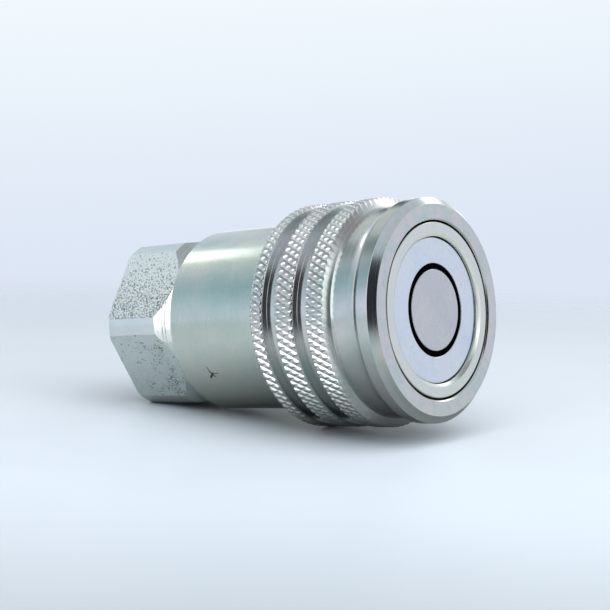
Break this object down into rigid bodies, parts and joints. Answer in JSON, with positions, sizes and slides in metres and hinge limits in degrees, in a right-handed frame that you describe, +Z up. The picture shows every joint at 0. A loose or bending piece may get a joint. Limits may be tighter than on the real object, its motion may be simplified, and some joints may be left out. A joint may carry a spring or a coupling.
{
  "type": "quick disconnect coupler",
  "caption": "Female half of a flat-face hydraulic quick coupler with a knurled locking sleeve, flush valve face and a hexagonal rear adapter with a female port.",
  "frame": {"origin": "centre of the stem's flat face, on the coupler axis in the flush mating plane", "axes": "+X out of the mating face along the coupler axis, +Z up with two hexagon flats level"},
  "size_m": [0.0637, 0.0396, 0.0396],
  "materials": {
    "body_zinc": "zinc plated, fine turning lines",
    "adapter_zinc": "zinc plated over drawn bar, pitted flats",
    "sleeve_zinc": "zinc plated, knurled bands",
    "nose_zinc": "bright zinc plated, smooth turned face",
    "stem_steel": "plain turned face",
    "plain_steel": "machined",
    "spring_steel": "drawn wire",
    "ball_steel": "polished",
    "seal_rubber": "moulded black rubber",
    "white_ptfe": "smooth"
  },
  "bodies": {
    "housing": {"main_body": "body_zinc", "rear_adapter": "adapter_zinc", "adapter_o_ring": "seal_rubber", "adapter_backup_ring": "white_ptfe", "stem": "stem_steel", "stem_face_seal": "seal_rubber", "stem_support": "plain_steel", "stem_lock_washer": "spring_steel", "stem_nut": "plain_steel", "sleeve_snap_ring": "spring_steel", "sleeve_spring": "spring_steel", "valve_spring": "spring_steel"},
    "sleeve_slider": {"sleeve_thrust_washer": "plain_steel"},
    "sleeve": {"locking_sleeve": "sleeve_zinc"},
    "valve": {"valve_sleeve": "nose_zinc", "valve_sleeve_o_ring": "seal_rubber", "valve_sleeve_backup_ring": "white_ptfe"},
    "ball_01": {"locking_ball_01": "ball_steel"},
    "ball_02": {"locking_ball_02": "ball_steel"},
    "ball_03": {"locking_ball_03": "ball_steel"},
    "ball_04": {"locking_ball_04": "ball_steel"},
    "ball_05": {"locking_ball_05": "ball_steel"},
    "ball_06": {"locking_ball_06": "ball_steel"},
    "ball_07": {"locking_ball_07": "ball_steel"},
    "ball_08": {"locking_ball_08": "ball_steel"},
    "ball_09": {"locking_ball_09": "ball_steel"},
    "ball_10": {"locking_ball_10": "ball_steel"}
  },
  "joints": [
    {"name": "sleeve_slide", "type": "slide", "parent": "housing", "child": "sleeve_slider", "axis": [-1, 0, 0], "range_m": [0, 0.0046], "stiffness_N_per_m": 8000, "springref_m": -0.00375, "deforming": ["sleeve_spring"]},
    {"name": "sleeve_turn", "type": "hinge", "parent": "sleeve_slider", "child": "sleeve", "pos_m": [-0.012, 0, 0], "axis": [1, 0, 0], "continuous": true},
    {"name": "valve_slide", "type": "slide", "parent": "housing", "child": "valve", "axis": [-1, 0, 0], "range_m": [0, 0.0045], "stiffness_N_per_m": 6000, "springref_m": -0.0045, "deforming": ["valve_spring"]},
    {"name": "ball_01_out", "type": "slide", "parent": "housing", "child": "ball_01", "axis": [0, 0, 1], "range_m": [0, 0.00105]},
    {"name": "ball_02_out", "type": "slide", "parent": "housing", "child": "ball_02", "axis": [0, -0.5878, 0.809], "range_m": [0, 0.00105]},
    {"name": "ball_03_out", "type": "slide", "parent": "housing", "child": "ball_03", "axis": [0, -0.9511, 0.309], "range_m": [0, 0.00105]},
    {"name": "ball_04_out", "type": "slide", "parent": "housing", "child": "ball_04", "axis": [0, -0.9511, -0.309], "range_m": [0, 0.00105]},
    {"name": "ball_05_out", "type": "slide", "parent": "housing", "child": "ball_05", "axis": [0, -0.5878, -0.809], "range_m": [0, 0.00105]},
    {"name": "ball_06_out", "type": "slide", "parent": "housing", "child": "ball_06", "axis": [0, 0, -1], "range_m": [0, 0.00105]},
    {"name": "ball_07_out", "type": "slide", "parent": "housing", "child": "ball_07", "axis": [0, 0.5878, -0.809], "range_m": [0, 0.00105]},
    {"name": "ball_08_out", "type": "slide", "parent": "housing", "child": "ball_08", "axis": [0, 0.9511, -0.309], "range_m": [0, 0.00105]},
    {"name": "ball_09_out", "type": "slide", "parent": "housing", "child": "ball_09", "axis": [0, 0.9511, 0.309], "range_m": [0, 0.00105]},
    {"name": "ball_10_out", "type": "slide", "parent": "housing", "child": "ball_10", "axis": [0, 0.5878, 0.809], "range_m": [0, 0.00105]}
  ],
  "couplings": [
    {"joint": "ball_01_out", "follows": "sleeve_slide", "ratio": 0.228},
    {"joint": "ball_02_out", "follows": "sleeve_slide", "ratio": 0.228},
    {"joint": "ball_03_out", "follows": "sleeve_slide", "ratio": 0.228},
    {"joint": "ball_04_out", "follows": "sleeve_slide", "ratio": 0.228},
    {"joint": "ball_05_out", "follows": "sleeve_slide", "ratio": 0.228},
    {"joint": "ball_06_out", "follows": "sleeve_slide", "ratio": 0.228},
    {"joint": "ball_07_out", "follows": "sleeve_slide", "ratio": 0.228},
    {"joint": "ball_08_out", "follows": "sleeve_slide", "ratio": 0.228},
    {"joint": "ball_09_out", "follows": "sleeve_slide", "ratio": 0.228},
    {"joint": "ball_10_out", "follows": "sleeve_slide", "ratio": 0.228}
  ]
}
